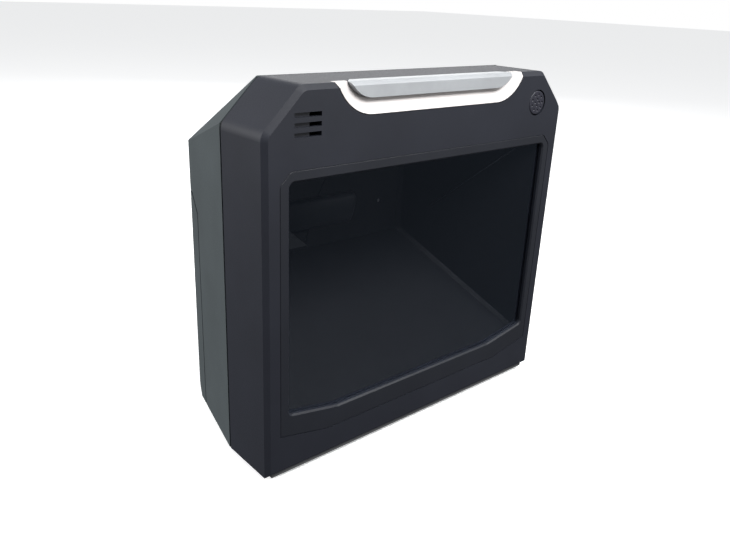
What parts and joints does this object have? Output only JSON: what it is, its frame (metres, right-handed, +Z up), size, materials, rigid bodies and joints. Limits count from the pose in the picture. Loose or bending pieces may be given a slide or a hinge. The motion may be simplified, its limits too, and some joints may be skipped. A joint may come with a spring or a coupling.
{
  "type": "presentation barcode scanner",
  "caption": "Hands-free barcode scanner with a tall window in a two-piece case, dimpled press button, U-shaped metal trim and rear cable socket.",
  "frame": {"origin": "middle of the footprint rectangle at the underside of the feet", "axes": "+X to the right seen from the front, +Y from the window towards the rear, +Z up"},
  "size_m": [0.15, 0.0798, 0.1416],
  "materials": {
    "case_front": "fine moulded texture, dark blue-grey",
    "case_rear": "fine moulded texture, grey",
    "bezel": "smooth satin",
    "window": "clear, lightly tinted",
    "rubber_seal": "dull black",
    "tunnel": "dull near-black",
    "trim": "bright satin",
    "diffuser": "translucent grey",
    "circuit_board": "solder mask",
    "steel_screw": "plain",
    "led": "clear package",
    "button": "satin",
    "component_black": "moulded black",
    "engine_metal": "anodised grey",
    "bracket_steel": "plain",
    "optic": "coated",
    "connector": "moulded black",
    "flex": "polyimide film",
    "contact_gold": "gold-plated",
    "base_steel": "light grey powder coat",
    "rubber_foot": "dull black",
    "brass_insert": "knurled insert"
  },
  "bodies": {
    "case": {"accent_trim": "trim", "aimer_lens": "optic", "back_cover": "case_rear", "base_plate": "base_steel", "beeper": "component_black", "board_screws": "steel_screw", "cable_socket": "connector", "case_screws": "steel_screw", "engine_board": "circuit_board", "engine_body": "engine_metal", "engine_bracket": "bracket_steel", "engine_screws": "steel_screw", "flex_cable": "flex", "flex_connector": "connector", "front_cover": "case_front", "illumination_leds": "led", "lens": "optic", "lens_barrel": "component_black", "light_bar": "diffuser", "main_board": "circuit_board", "memory_chips": "component_black", "processor": "component_black", "rear_housing": "case_rear", "rubber_feet": "rubber_foot", "socket_contacts": "contact_gold", "stand_inserts": "brass_insert", "status_leds": "led", "switch_body": "component_black", "top_board": "circuit_board", "top_screws": "steel_screw", "tunnel_shroud": "tunnel", "window_bezel": "bezel", "window_gasket": "rubber_seal", "window_glass": "window"},
    "button": {"button_cap": "button", "switch_plunger": "component_black"}
  },
  "joints": [
    {"name": "button_press", "type": "slide", "parent": "case", "child": "button", "axis": [0, 1, 0], "range_m": [0, 0.0008], "stiffness_N_per_m": 1500, "springref_m": -0.0006}
  ]
}
